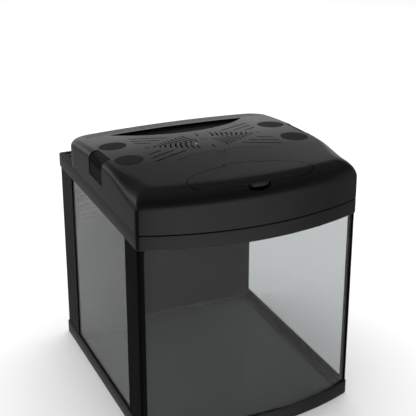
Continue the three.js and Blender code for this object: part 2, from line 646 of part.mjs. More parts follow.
// ---- the light bay and the rear bay under the hood -----------------------------------------
function buildLights() {
  const floor = SEAM_Z + 8;
  const tray = block(-148, 148, -117, 45, floor, SEAM_Z + 38);
  const inside = block(-146.5, 146.5, -115.5, 43.5, floor - 1, SEAM_Z + 36.5);
  add("reflector", tray.subtract(inside), "white_plastic");

  const holes = guardPosts().map(([x, y]) => rod("z", [x, y, SEAM_Z], 20, 2.3, 12));
  const guard = block(-161, 161, -120, 47, SEAM_Z + 5, SEAM_Z + 7.5);
  add("splash_guard", cut(guard, ...holes), "clear_plastic");
  guardPosts().forEach(([x, y], i) => {
    const profile = [[0, 1.2], [5.5, 1.2], [5.5, 4.7], [1.9, 4.7], [1.9, 17], [0, 17]];
    const screw = profile.map(([radius, height]) => [radius, SEAM_Z + height]);
    add(`guard_screw_${i + 1}`, turned(screw, x, y, 16), "black_plastic");
  });

  for (const [name, y] of [["front", -78], ["rear", 6]]) {
    const holder = block(-145, -123, y - 22, y + 22, SEAM_Z + 10, SEAM_Z + 36);
    add(`${name}_lamp_holder`, holder, "white_plastic");
    const z = SEAM_Z + 22;
    const legs = [-11, 11].map((dy) => rod("x", [-118, y + dy, z], 236, 7, 12));
    const bridge = rod("y", [110, y - 11, z], 22, 4, 10);
    const cap = block(-122.5, -114, y - 20, y + 20, z - 8, z + 8);
    add(`${name}_lamp`, joined(...legs, bridge, cap), "lamp_glass");
  }
}

function buildFans() {
  const { x, y, size, height, bore, hub } = FAN;
  const foot = SEAM_Z + 38 + FIT;
  for (const [side, sign] of [["left", -1], ["right", 1]]) {
    const cx = sign * x;
    const frame = block(cx - size / 2, cx + size / 2, y - size / 2, y + size / 2, foot, foot + height);
    const ring = frame.subtract(rod("z", [cx, y, foot - 1], height + 2, bore, 24));
    const hubDisc = rod("z", [cx, y, foot], 2, hub, 16);
    const spokes = [0, 1, 2, 3].map((i) => {
      const bar = new THREE.BoxGeometry(bore, 3, 2);
      bar.translate(bore / 2 + 2, 0, 0);
      bar.rotateZ((Math.PI / 2) * i + Math.PI / 4);
      bar.translate(cx, y, foot + 1);
      return solidOf(bar);
    });
    add(`${side}_fan_frame`, joined(ring, hubDisc, ...spokes), "black_plastic");

    const rotor = [rod("z", [cx, y, foot + 2.5], 8.5, hub, 16)];
    for (let i = 0; i < 7; i += 1) {
      const blade = new THREE.BoxGeometry(bore - hub - 0.5, 9, 1.2);
      blade.rotateX(THREE.MathUtils.degToRad(35));
      blade.translate((bore + hub) / 2 - 1.2, 0, 0);
      blade.rotateZ((2 * Math.PI * i) / 7);
      blade.translate(cx, y, foot + 7);
      rotor.push(solidOf(blade));
    }
    add(`${side}_fan_rotor`, joined(...rotor), "satin_black");
  }
}

function buildRearBay() {
  // The cover's front edge runs under the splash guard and holds it up.
  add("rear_bay_cover", block(-150, 150, 40, 160, SEAM_Z + 2.5, SEAM_Z + 4.7), "black_plastic");
  add("lamp_driver", block(20, 130, 62, 112, SEAM_Z + 5.5, SEAM_Z + 31), "white_plastic");

  const x = -60;
  const z = SEAM_Z + 29;
  const flangeY = HOOD_REAR + FIT;
  const flange = block(x - 12.5, x + 12.5, flangeY, flangeY + 1.2, z - 9.5, z + 9.5);
  const body = block(x - 10.5, x + 10.5, HOOD_REAR - 14, flangeY + 0.5, z - 7.5, z + 7.5);
  const well = block(x - 8, x + 8, HOOD_REAR - 8, 200, z - 6, z + 6);
  add("switch_housing", flange.add(body).subtract(well), "black_plastic");
  const reach = 4.6;
  const outline = [[-3.4, -reach], [0.2, -reach], [1.6, 0], [3, reach], [-3.4, reach]];
  const points = outline.map(([dy, dz]) => new THREE.Vector2(dy, dz));
  const rocker = new THREE.ExtrudeGeometry(new THREE.Shape(points), { depth: 15.2, bevelEnabled: false });
  rocker.rotateY(Math.PI / 2);
  rocker.rotateX(Math.PI / 2);
  rocker.translate(x - 7.6, HOOD_REAR - 2, z);
  add("rocker_switch", solidOf(rocker), "satin_black");

  const bead = rod("y", [120, HOOD_REAR - 6, z], 8, 8.4, 20);
  const groove = cut(
    rod("y", [120, HOOD_REAR - 4, z], 4 + FIT, 10, 20),
    rod("y", [120, HOOD_REAR - 10, z], 20, 5.8, 20),
  );
  const bore = rod("y", [120, HOOD_REAR - 10, z], 20, 3.4, 12);
  add("lead_grommet", cut(bead, groove, bore), "rubber");
}

buildTank();
buildCovers();
buildRim();
buildHinges();
buildFilter();
buildHood();
buildLouvres();
buildRearBar();
buildRecessTray();
buildFlap();
buildLights();
buildFans();
buildRearBay();

export default tank;
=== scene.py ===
# %% [markdown]
# # A bow-front aquarium with a hinged hood
#
# The object is a small glass tank with a bowed front. A black moulded rim closes it at the top, and a black
# hood with lamps and fans is hinged on the rim. The engineering model is loaded first and stays where it is.
# Each step below then makes one piece as it looks on the real thing, and lets it stand for the plain one.

import json
import math

import bmesh
import bpy
import numpy as np
from mathutils import Matrix, Vector


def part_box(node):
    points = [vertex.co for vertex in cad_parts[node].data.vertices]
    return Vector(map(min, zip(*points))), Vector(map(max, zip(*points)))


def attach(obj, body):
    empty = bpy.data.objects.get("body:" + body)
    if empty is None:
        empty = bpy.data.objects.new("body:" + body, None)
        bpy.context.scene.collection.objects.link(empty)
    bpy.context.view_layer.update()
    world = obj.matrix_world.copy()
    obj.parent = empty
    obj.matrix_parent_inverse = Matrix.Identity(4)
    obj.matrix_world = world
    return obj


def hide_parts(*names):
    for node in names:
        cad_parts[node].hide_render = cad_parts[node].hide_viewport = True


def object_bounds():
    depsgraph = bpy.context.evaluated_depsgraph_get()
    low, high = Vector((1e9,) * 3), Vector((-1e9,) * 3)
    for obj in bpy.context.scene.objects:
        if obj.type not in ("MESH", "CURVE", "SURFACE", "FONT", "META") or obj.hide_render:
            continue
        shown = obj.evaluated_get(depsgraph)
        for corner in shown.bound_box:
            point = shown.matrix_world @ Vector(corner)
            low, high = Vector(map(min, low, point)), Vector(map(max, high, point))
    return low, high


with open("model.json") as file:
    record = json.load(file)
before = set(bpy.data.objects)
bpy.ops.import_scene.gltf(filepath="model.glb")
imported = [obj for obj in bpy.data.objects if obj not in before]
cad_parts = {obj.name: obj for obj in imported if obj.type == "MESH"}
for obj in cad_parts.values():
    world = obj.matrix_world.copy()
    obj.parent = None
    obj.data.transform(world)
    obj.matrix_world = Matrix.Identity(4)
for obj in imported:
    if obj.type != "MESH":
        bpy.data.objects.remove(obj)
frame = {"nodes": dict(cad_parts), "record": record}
cad_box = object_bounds()
print("box of the frame:", [tuple(round(c, 4) for c in corner) for corner in cad_box])

# %% [markdown]
# ## Sizes that shape everything
#
# The plan of the tank is a rectangle whose front edge is an arc. The hood's top is a shallow dome that falls
# away behind its middle. Both are rules, so they are written once as functions and every piece uses them. All
# lengths are in metres, and most of them are read from the frame's own pieces.

# %% Sizes from the frame
HALF = cad_box[1].x
REAR = cad_box[1].y
FRONT = cad_box[0].y
CROWN = cad_box[1].z
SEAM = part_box("top_rim")[1].z
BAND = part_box("base_frame")[1].z
BOW = 0.038
BOW_RADIUS = (HALF ** 2 + BOW ** 2) / (2 * BOW)
BOW_CENTRE = FRONT + BOW_RADIUS
CORNER = 0.007
SHELL = 0.003
SHOULDER = 0.013
FRONT_SHOULDER = 0.030
SHOULDER_GROWS_FROM, SHOULDER_GROWS_OVER = -0.060, 0.110
HOOD_REAR_CORNER = 0.040
CROWN_DROP = 0.0056
SLOPE_START = -0.078
SLOPE = 0.357
HOOD_BASE = SEAM + 0.001
BAR_FRONT = 0.122
HOOD_REAR = 0.176
HINGE = Vector((0, 0.170, SEAM + 0.007))
FLAP_AXIS = Vector((0, -0.135, CROWN - 0.0026))
FIT = 0.0003
print(f"half width {HALF:.3f}, front {FRONT:.4f}, rear {REAR:.4f}, seam {SEAM:.3f}, crown {CROWN:.4f}")


# %% The plan outline and the dome of the top
def arc(centre, radius, start, end, steps):
    """Points on an arc in plan, from one angle to another."""
    turn = np.linspace(start, end, steps + 1)
    return np.stack([centre[0] + radius * np.cos(turn), centre[1] + radius * np.sin(turn)], 1)


def bow_y(x, inset=0.0):
    """How far forward the bowed front stands at x, on a line inset inside the outermost one."""
    return BOW_CENTRE - np.sqrt((BOW_RADIUS - inset) ** 2 - x * x)


def plan_loop(inset, rear, corner=CORNER, rear_corner=0.004):
    """The closed outline in plan. Every call gives the same number of points, so outlines can be stacked."""
    half = HALF - inset
    radius = BOW_RADIUS - inset
    corner_x = corner - half
    corner_y = BOW_CENTRE - math.sqrt((radius - corner) ** 2 - corner_x ** 2)
    turn = math.atan2(corner_y - BOW_CENTRE, corner_x) + 2 * math.pi
    rear_x, side_top = rear_corner - half, rear - rear_corner
    edge = np.linspace(0, rear_x, 13)[:-1]
    side = np.linspace(side_top, corner_y, 25)[1:-1]
    left = np.concatenate([
        np.stack([edge, np.full_like(edge, rear)], 1),
        arc((rear_x, side_top), rear_corner, math.pi / 2, math.pi, 8),
        np.stack([np.full_like(side, -half), side], 1),
        arc((corner_x, corner_y), corner, math.pi, turn, 10),
        arc((0, BOW_CENTRE), radius, turn, 1.5 * math.pi, 40)[1:],
    ])
    right = left[1:-1][::-1] * (-1, 1)
    return np.concatenate([left, right])


def hood_top(x, y):
    """Height of the hood's outer surface over a point in plan."""
    behind = np.maximum(0, y - SLOPE_START)
    return CROWN - CROWN_DROP * (x / HALF) ** 2 - SLOPE * behind ** 2


print("outline points:", len(plan_loop(0, REAR)))

# %% [markdown]
# ## Helpers for meshes
#
# A piece starts as a closed body: a stack of outlines, a prism on an outline, or a rod. Bodies are then
# joined, cut and trimmed with Boolean modifiers, which work on closed bodies only. The result is turned into
# a plain mesh, smooth where it curves and sharp where it is cut.


# %% Closed bodies
def piece(name, points, faces):
    """A mesh object with its place in its mesh."""
    mesh = bpy.data.meshes.new(name)
    mesh.from_pydata([tuple(p) for p in points], [], [tuple(f) for f in faces])
    obj = bpy.data.objects.new(name, mesh)
    bpy.context.scene.collection.objects.link(obj)
    return obj


def stack(name, rings):
    """Outlines of equal length joined into a closed body with flat ends. The first ring is the lowest."""
    count = len(rings[0])
    points = np.concatenate(rings)
    faces = [range(count)[::-1], range(len(points) - count, len(points))]
    for low in range(0, len(points) - count, count):
        for i in range(count):
            j = (i + 1) % count
            faces.append((low + i, low + j, low + count + j, low + count + i))
    return piece(name, points, faces)


def outward(obj):
    """Turns every face of a closed body outwards."""
    mesh = bmesh.new()
    mesh.from_mesh(obj.data)
    bmesh.ops.recalc_face_normals(mesh, faces=mesh.faces)
    mesh.to_mesh(obj.data)
    mesh.free()
    return obj


def prism(points, low, high, name="prism"):
    """An upright prism on a closed outline in plan."""
    points = np.asarray(points, float)
    level = np.ones((len(points), 1))
    return outward(stack(name, [np.hstack([points, level * z]) for z in (low, high)]))


def block(x, y, z, name="block"):
    """A box from three pairs of limits."""
    corners = [(x[0], y[0]), (x[1], y[0]), (x[1], y[1]), (x[0], y[1])]
    return prism(corners, z[0], z[1], name)


def rod(axis, start, length, radius, sides=48, name="rod"):
    """A cylinder from its first end along X, Y or Z."""
    turn = np.linspace(0, 2 * math.pi, sides + 1)[:-1]
    order = {"x": (2, 0, 1), "y": (1, 2, 0), "z": (0, 1, 2)}[axis]
    rings = []
    for place in (0, length):
        ring = np.stack([radius * np.cos(turn), radius * np.sin(turn), np.full(sides, place)], 1)
        rings.append(ring[:, order] + np.array(start))
    return outward(stack(name, rings))


def mound(offset=0.0, base=HOOD_BASE, steps=18, name="mound"):
    """The body under the hood's outer surface, shrunk by offset."""
    tight, wide = SHOULDER - offset, FRONT_SHOULDER - offset
    rings = []
    for angle in np.linspace(0, math.pi / 2, steps + 1):
        turn = 1 - math.cos(angle)
        rear = HOOD_REAR - offset - tight * turn
        rear_corner = HOOD_REAR_CORNER - offset - tight * turn
        close, roomy = [
            plan_loop(offset + r * turn, rear, max(0.001, CORNER - offset + 0.6 * r * turn), rear_corner)
            for r in (tight, wide)
        ]
        share = np.clip((SHOULDER_GROWS_FROM - close[:, 1]) / SHOULDER_GROWS_OVER, 0, 1)
        share = share * share * (3 - 2 * share)
        loop = close + (roomy - close) * share[:, None]
        drop = (tight + (wide - tight) * share) * (1 - math.sin(angle))
        height = hood_top(loop[:, 0], loop[:, 1]) - offset - drop
        rings.append(np.column_stack([loop, height]))
    rings.insert(0, np.column_stack([rings[0][:, :2], np.full(len(rings[0]), base)]))
    for scale in np.linspace(1, 0.04, 14)[1:]:
        loop = rings[steps + 1][:, :2] * scale
        rings.append(np.column_stack([loop, hood_top(loop[:, 0], loop[:, 1]) - offset]))
    return outward(stack(name, rings))


# %% Joining and cutting
def settle(obj):
    """Applies an object's modifiers and leaves it as a plain mesh."""
    depsgraph = bpy.context.evaluated_depsgraph_get()
    mesh = bpy.data.meshes.new_from_object(obj.evaluated_get(depsgraph))
    obj.modifiers.clear()
    obj.data = mesh
    return obj


def carve(body, *steps):
    """Applies (operation, tool) pairs to a closed body and removes the tools."""
    for operation, tool in steps:
        modifier = body.modifiers.new(operation, "BOOLEAN")
        modifier.operation = operation
        modifier.solver = "MANIFOLD"
        modifier.object = tool
    settle(body)
    for tool in {tool for _, tool in steps}:
        bpy.data.objects.remove(tool)
    return body


def cut(body, *tools):
    return carve(body, *[("DIFFERENCE", tool) for tool in tools])


def join(body, *tools):
    return carve(body, *[("UNION", tool) for tool in tools])


def keep(body, *tools):
    return carve(body, *[("INTERSECT", tool) for tool in tools])


def copy_of(obj):
    twin = obj.copy()
    twin.data = obj.data.copy()
    bpy.context.scene.collection.objects.link(twin)
    return twin


def finish_mesh(obj, name, material, sharp=32):
    """Names a piece, makes its curved faces smooth and its cut edges sharp, and gives it one material."""
    mesh = bmesh.new()
    mesh.from_mesh(obj.data)
    bmesh.ops.remove_doubles(mesh, verts=mesh.verts, dist=2e-6)
    bmesh.ops.dissolve_degenerate(mesh, edges=mesh.edges, dist=2e-6)
    mesh.to_mesh(obj.data)
    mesh.free()
    obj.name = obj.data.name = name
    obj.data.materials.clear()
    obj.data.materials.append(material)
    obj.data.shade_smooth()
    obj.data.set_sharp_from_angle(angle=math.radians(sharp))
    print(f"{name}: {len(obj.data.polygons)} faces")
    return obj


def stand_for(obj, body, slot, *nodes):
    """The piece rides on a body and stands for some of the frame's pieces. The slot argument is not used."""
    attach(obj, body)
    if nodes:
        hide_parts(*nodes)
    return obj


# %% [markdown]
# ## Helpers for node trees
#
# Shader and geometry trees are built by one small class. Its `add` method takes a node's type, its settings,
# and the values or links of its sockets. A number that comes out of a node is wrapped as a `Number`, so sums
# can be written as ordinary Python expressions, and each operation adds its Math node.


# %% Node trees in Python
class Number:
    """A number in a node tree. An expression on it adds the Math nodes."""

    def __init__(self, graph, socket):
        self.graph, self.socket = graph, socket

    def __add__(self, other):
        return self.graph.math("ADD", self, other)

    def __sub__(self, other):
        return self.graph.math("SUBTRACT", self, other)

    def __rsub__(self, other):
        return self.graph.math("SUBTRACT", other, self)

    def __mul__(self, other):
        return self.graph.math("MULTIPLY", self, other)

    __radd__ = __add__
    __rmul__ = __mul__


class Graph:
    """Adds nodes to a tree: a node's type, its settings, then the values or links of its sockets."""

    def __init__(self, tree):
        self.tree = tree

    def add(self, kind, settings=None, sockets=None):
        node = self.tree.nodes.new(kind)
        for name, value in (settings or {}).items():
            if name == "stops":
                self.set_stops(node.color_ramp, value)
            else:
                setattr(node, name, value)
        for key, value in (sockets or {}).items():
            value = value.socket if isinstance(value, Number) else value
            if isinstance(value, bpy.types.NodeSocket):
                self.tree.links.new(value, node.inputs[key])
            else:
                node.inputs[key].default_value = value
        return node

    @staticmethod
    def set_stops(ramp, stops):
        for place, colour in stops[2:]:
            ramp.elements.new(place)
        for element, (place, colour) in zip(ramp.elements, stops):
            element.position, element.color = place, colour

    def math(self, operation, *terms):
        node = self.add("ShaderNodeMath", {"operation": operation}, dict(enumerate(terms)))
        return Number(self, node.outputs[0])

    def number(self, socket):
        return Number(self, socket)


print("node helpers are ready")

# %% [markdown]
# ## Finishes
#
# The hood, rim and base are moulded ABS: nearly black, satin, with a very fine spark texture from the mould
# and soft patches where hands have polished it. A real surface is never one flat colour, so each finish mixes
# two close colours with noise, lets the roughness wander, and adds a fine bump. All patterns follow the
# object's own coordinates, so they stay put when a piece moves.


# %% A general moulded finish
def moulded(name, dark, light, roughness, grain=0.0, grain_size=0.0009, patch=0.06, wander=0.05, **fixed):
    """A plastic, rubber or foam finish. Grain is the depth of the texture, in metres."""
    material = bpy.data.materials.new(name)
    material.use_nodes = True
    graph = Graph(material.node_tree)
    graph.tree.nodes.clear()
    place = graph.add("ShaderNodeTexCoord").outputs["Object"]
    cloud = graph.add("ShaderNodeTexNoise", None, {"Vector": place, "Scale": 1 / patch, "Detail": 4.0})
    speck = graph.add("ShaderNodeTexNoise", None, {"Vector": place, "Scale": 1 / grain_size, "Detail": 2.0})
    cloudy = graph.number(cloud.outputs[0])
    specky = graph.number(speck.outputs[0])
    mask = cloudy * 0.75 + specky * 0.25
    tint = graph.add("ShaderNodeMix", {"data_type": "RGBA"}, {0: mask, 6: (*dark, 1), 7: (*light, 1)})
    rough = roughness + (cloudy - 0.5) * (2 * wander) + (specky - 0.5) * wander
    shader = graph.add("ShaderNodeBsdfPrincipled", None, {
        "Base Color": tint.outputs[2], "Roughness": rough, **fixed,
    })
    if grain:
        bump = graph.add("ShaderNodeBump", None, {
            "Height": speck.outputs[0], "Distance": grain, "Strength": 0.6,
        })
        graph.tree.links.new(bump.outputs[0], shader.inputs["Normal"])
    graph.add("ShaderNodeOutputMaterial", None, {"Surface": shader.outputs[0]})
    return material


def grey(level):
    return (level, level, level * 1.03)


def gloss(level):
    """How strongly a black plastic mirrors its surroundings, apart from how sharply."""
    return {"Specular IOR Level": level}


hood_black = moulded("hood_black", grey(0.0055), grey(0.0080), 0.28, grain=0.00002, **gloss(0.42))
frame_black = moulded("frame_black", grey(0.0065), grey(0.0100), 0.30, grain=0.00002, **gloss(0.42))
tray_black = moulded("tray_black", grey(0.0030), grey(0.0050), 0.52, grain=0.00003, **gloss(0.16))
# The front covers get a darker, less glossy copy of the cover plastic than the rear covers' satin. This is
# painted shade on the front corner pillars, not a different plastic.
cover_black_painted_shade = moulded("cover_black_painted_shade", grey(0.0012), grey(0.0022), 0.62, grain=0.00003, **gloss(0.15))
cover_satin = moulded("cover_satin", grey(0.0030), grey(0.0050), 0.45, grain=0.00003, **gloss(0.3))
pad_rubber = moulded("pad_rubber", grey(0.0055), grey(0.0085), 0.62, grain=0.00006, grain_size=0.0014,
                     **gloss(0.28))
seal_black = moulded("seal_black", grey(0.006), grey(0.010), 0.35, patch=0.02)
board_black = moulded("board_black", grey(0.0030), grey(0.0050), 0.80, grain=0.00001, grain_size=0.002,
                      **gloss(0.2))
hose_black = moulded("hose_black", grey(0.010), grey(0.016), 0.55, grain=0.00004)
filter_black = moulded("filter_black", grey(0.010), grey(0.015), 0.42, grain=0.00003)
rotor_black = moulded("rotor_black", grey(0.016), grey(0.024), 0.40, grain=0.00002)
switch_black = moulded("switch_black", grey(0.008), grey(0.012), 0.18, wander=0.02)
white_abs = moulded("white_abs", (0.66, 0.66, 0.63), (0.74, 0.74, 0.71), 0.36, grain=0.00002)
driver_white = moulded("driver_white", (0.60, 0.61, 0.60), (0.70, 0.70, 0.68), 0.45, grain=0.00004)
foam_blue = moulded("foam_blue", (0.008, 0.013, 0.020), (0.030, 0.045, 0.065), 0.95, grain=0.0012,
                    grain_size=0.0035)
lamp_white = moulded("lamp_white", (0.80, 0.82, 0.84), (0.88, 0.90, 0.92), 0.16, wander=0.03)
print("finishes:", len(bpy.data.materials))

# %% [markdown]
# Glass and clear acrylic are real transmitting bodies with two faces each, so a line of sight through the
# corner passes several faces and darkens as it does in a tank. Faint smears in the roughness keep the panes
# from looking computed. Steel is a metal with fine turning marks.


# %% Glass, acrylic and steel
def clear(name, tint, roughness, smear, ior, patch):
    material = bpy.data.materials.new(name)
    material.use_nodes = True
    graph = Graph(material.node_tree)
    graph.tree.nodes.clear()
    place = graph.add("ShaderNodeTexCoord").outputs["Object"]
    noise = graph.add("ShaderNodeTexNoise", None, {"Vector": place, "Scale": 1 / patch, "Detail": 3.0})
    rough = graph.number(noise.outputs[0]) * smear + roughness
    pale = tuple(min(1.0, c * 1.02) for c in tint)
    colour = graph.add("ShaderNodeMix", {"data_type": "RGBA"}, {
        0: noise.outputs[0], 6: (*tint, 1), 7: (*pale, 1),
    })
    shader = graph.add("ShaderNodeBsdfPrincipled", None, {
        "Base Color": colour.outputs[2], "Roughness": rough, "Transmission Weight": 1.0, "IOR": ior,
    })
    graph.add("ShaderNodeOutputMaterial", None, {"Surface": shader.outputs[0]})
    return material


def metal(name, dark, light, roughness):
    material = bpy.data.materials.new(name)
    material.use_nodes = True
    graph = Graph(material.node_tree)
    graph.tree.nodes.clear()
    place = graph.add("ShaderNodeTexCoord").outputs["Object"]
    along = graph.add("ShaderNodeMapping", None, {"Vector": place, "Scale": (3000.0, 60.0, 60.0)})
    lines = graph.add("ShaderNodeTexNoise", None, {"Vector": along.outputs[0], "Scale": 1.0, "Detail": 3.0})
    colour = graph.add("ShaderNodeMix", {"data_type": "RGBA"}, {
        0: lines.outputs[0], 6: (*dark, 1), 7: (*light, 1),
    })
    shader = graph.add("ShaderNodeBsdfPrincipled", None, {
        "Base Color": colour.outputs[2], "Roughness": graph.number(lines.outputs[0]) * 0.2 + roughness,
        "Metallic": 1.0,
    })
    graph.add("ShaderNodeOutputMaterial", None, {"Surface": shader.outputs[0]})
    return material


tank_glass = clear("tank_glass", (0.70, 0.715, 0.715), 0.0, 0.012, 1.36, 0.12)
acrylic = clear("acrylic", (0.90, 0.92, 0.92), 0.02, 0.08, 1.40, 0.03)
steel = metal("steel", (0.42, 0.42, 0.43), (0.62, 0.62, 0.64), 0.22)
print("clear and metal finishes are ready")

# %% [markdown]
# ## Slots and dots from Geometry Nodes
#
# The hood breathes through rows of slots, and every row follows a rule: slot number i runs from a first point
# plus i steps to a second point plus i steps, and bends a little. Drawing them by hand would be slow and
# uneven, so one tree makes any such row as closed bars, and the hood is then cut with them. The tree starts
# from a unit line for each slot and moves its points with a few sums.


# %% A tree that makes a row of slots
def new_tree(name, inputs):
    """An empty geometry tree with named inputs. Gives the tree and its input sockets by name."""
    tree = bpy.data.node_groups.new(name, "GeometryNodeTree")
    for label, kind, value in inputs:
        socket = tree.interface.new_socket(label, in_out="INPUT", socket_type="NodeSocket" + kind)
        if kind != "Material":
            socket.default_value = value
    tree.interface.new_socket("Material", in_out="INPUT", socket_type="NodeSocketMaterial")
    tree.interface.new_socket("Geometry", in_out="OUTPUT", socket_type="NodeSocketGeometry")
    graph = Graph(tree)
    entry = graph.add("NodeGroupInput")
    sockets = {}
    for label, kind, _ in inputs:
        out = entry.outputs[label]
        sockets[label] = graph.number(out) if kind in ("Float", "Int") else out
    sockets["Material"] = entry.outputs["Material"]
    return graph, sockets


def end_tree(graph, sockets, geometry):
    """Every tree ends as plain geometry with its material set."""
    real = graph.add("GeometryNodeRealizeInstances", None, {0: geometry})
    painted = graph.add("GeometryNodeSetMaterial", None, {
        "Geometry": real.outputs[0], "Material": sockets["Material"],
    })
    graph.add("NodeGroupOutput", None, {0: painted.outputs[0]})
    return graph.tree


def grow(name, tree, material, **values):
    """Runs a tree on an empty object and gives the result as a plain mesh."""
    obj = piece(name, [], [])
    modifier = obj.modifiers.new(name, "NODES")
    modifier.node_group = tree
    values = {label.replace("_", " ").capitalize(): value for label, value in values.items()}
    values["Material"] = material
    for item in tree.interface.items_tree:
        if item.in_out == "INPUT" and item.name in values:
            modifier[item.identifier] = values[item.name]
    return outward(settle(obj))


def split_vector(graph, socket):
    parts = graph.add("ShaderNodeSeparateXYZ", None, {0: socket})
    return [graph.number(out) for out in parts.outputs]


def both_sides(graph, sockets, geometry):
    """Adds the mirror image in X when the input Mirror is on."""
    flipped = graph.add("GeometryNodeTransform", None, {"Geometry": geometry, "Scale": (-1.0, 1.0, 1.0)})
    pair = graph.add("GeometryNodeJoinGeometry")
    for source in (geometry, flipped.outputs[0]):
        graph.tree.links.new(source, pair.inputs[0])
    chosen = graph.add("GeometryNodeSwitch", {"input_type": "GEOMETRY"}, {
        0: sockets["Mirror"], 1: geometry, 2: pair.outputs[0],
    })
    return chosen.outputs[0]


def slot_tree():
    graph, at = new_tree("slot_row", [
        ("Count", "Int", 3), ("Start", "Vector", (0, 0, 0)), ("Start step", "Vector", (0, 0, 0)),
        ("End", "Vector", (0, 0, 0)), ("End step", "Vector", (0, 0, 0)), ("Bulge", "Float", 0.0),
        ("Bulge step", "Float", 0.0), ("Width", "Float", 0.0018), ("Depth", "Float", 0.03),
        ("Segments", "Int", 12), ("Mirror", "Bool", True),
    ])
    rows = graph.add("GeometryNodeMeshLine", None, {"Count": at["Count"].socket, "Offset": (0.0, 0.0, 0.0)})
    index = graph.add("GeometryNodeInputIndex").outputs[0]
    marked = graph.add("GeometryNodeStoreNamedAttribute", {"data_type": "FLOAT", "domain": "POINT"}, {
        "Geometry": rows.outputs[0], "Name": "row", "Value": index,
    })
    line = graph.add("GeometryNodeCurvePrimitiveLine", None, {"End": (1.0, 0.0, 0.0)})
    fine = graph.add("GeometryNodeResampleCurve", None, {
        "Curve": line.outputs[0], "Count": at["Segments"].socket,
    })
    lines = graph.add("GeometryNodeInstanceOnPoints", None, {
        "Points": marked.outputs[0], "Instance": fine.outputs[0],
    })
    real = graph.add("GeometryNodeRealizeInstances", None, {0: lines.outputs[0]})
    stored = graph.add("GeometryNodeInputNamedAttribute", {"data_type": "FLOAT"}, {"Name": "row"})
    row = graph.number(stored.outputs[0])
    along = split_vector(graph, graph.add("GeometryNodeInputPosition").outputs[0])[0]
    bend = (at["Bulge"] + at["Bulge step"] * row) * along * (1 - along) * 4

    def of_row(label):
        places, steps = split_vector(graph, at[label]), split_vector(graph, at[label + " step"])
        return [place + step * row for place, step in zip(places, steps)]

    first, last = of_row("Start"), of_row("End")
    spot = [a + (b - a) * along for a, b in zip(first, last)]
    target = graph.add("ShaderNodeCombineXYZ", None, {0: spot[0] + bend, 1: spot[1], 2: spot[2]})
    moved = graph.add("GeometryNodeSetPosition", None, {
        "Geometry": real.outputs[0], "Position": target.outputs[0],
    })
    profile = graph.add("GeometryNodeCurvePrimitiveQuadrilateral", None, {
        "Width": at["Width"].socket, "Height": at["Depth"].socket,
    })
    bars = graph.add("GeometryNodeCurveToMesh", None, {
        "Curve": moved.outputs[0], "Profile Curve": profile.outputs[0], "Fill Caps": True,
    })
    return end_tree(graph, at, both_sides(graph, at, bars.outputs[0]))


SLOT_ROW = slot_tree()
trial = grow("trial", SLOT_ROW, hood_black, count=2, start=(0.01, 0, 0), end=(0.02, 0.03, 0),
             end_step=(0.01, 0, 0))
heights = [v.co.z for v in trial.data.vertices]
print("two pairs of slots:", len(trial.data.polygons), "faces, height", round(max(heights) - min(heights), 4))
bpy.data.objects.remove(trial)

# %% [markdown]
# The dotted line behind the flap and its small V are rows of round pits. A second tree sets a short pin on
# every place of a row, and the row may bow a little.


# %% A tree that makes a row of pins
def pin_tree():
    graph, at = new_tree("pin_row", [
        ("Count", "Int", 3), ("Start", "Vector", (0, 0, 0)), ("Step", "Vector", (0, 0, 0)),
        ("Bow", "Float", 0.0), ("Radius", "Float", 0.0009), ("Height", "Float", 0.004),
        ("Mirror", "Bool", True),
    ])
    line = graph.add("GeometryNodeMeshLine", None, {
        "Count": at["Count"].socket, "Start Location": at["Start"], "Offset": at["Step"],
    })
    first = split_vector(graph, at["Start"])[0]
    x, y, z = split_vector(graph, graph.add("GeometryNodeInputPosition").outputs[0])
    out = x - first
    target = graph.add("ShaderNodeCombineXYZ", None, {0: x, 1: y + out * out * at["Bow"], 2: z})
    bowed = graph.add("GeometryNodeSetPosition", None, {
        "Geometry": line.outputs[0], "Position": target.outputs[0],
    })
    pin = graph.add("GeometryNodeMeshCylinder", None, {
        "Vertices": 14, "Radius": at["Radius"].socket, "Depth": at["Height"].socket,
    })
    pins = graph.add("GeometryNodeInstanceOnPoints", None, {
        "Points": bowed.outputs[0], "Instance": pin.outputs[0],
    })
    real = graph.add("GeometryNodeRealizeInstances", None, {0: pins.outputs[0]})
    return end_tree(graph, at, both_sides(graph, at, real.outputs[0]))


PIN_ROW = pin_tree()
print("pin tree nodes:", len(PIN_ROW.nodes))

# %% [markdown]
# ## The hood shell
#
# On the real object this is one thin injection moulding. It could be sculpted, but its form is a rule: walls
# that rise from the rim, a round shoulder that widens towards the front, and a dome. So two stacked bodies
# are made, one 3 mm inside the other, and the inner is cut from the outer. Then come the openings in the
# order a toolmaker would cut them: the rear bar's bay, the crescent, the flap, the side louvres, the round
# pads and the air slots.


# %% Outlines of the flap and the crescent
def bezier(points, steps):
    """Points on a Bezier curve of any degree."""
    points = [np.array(p, float) for p in points]
    result = []
    for t in np.linspace(0, 1, steps + 1):
        level = points
        while len(level) > 1:
            level = [a + (b - a) * t for a, b in zip(level, level[1:])]
        result.append(level[0])
    return np.array(result)


TONGUE = 0.0245
FLAP_HALF = 0.105
FLAP_INSET = 0.013
FLAP_WING = 0.0052
FLAP_GAP = 0.0013


def grown(loop, gap):
    """A closed loop moved outwards by gap, with its corners kept sharp."""
    step = np.roll(loop, -1, axis=0) - loop
    after = np.stack([step[:, 1], -step[:, 0]], 1) / np.linalg.norm(step, axis=1)[:, None]
    before = np.roll(after, 1, axis=0)
    return loop + gap * (before + after) / (1 + np.sum(before * after, axis=1))[:, None]


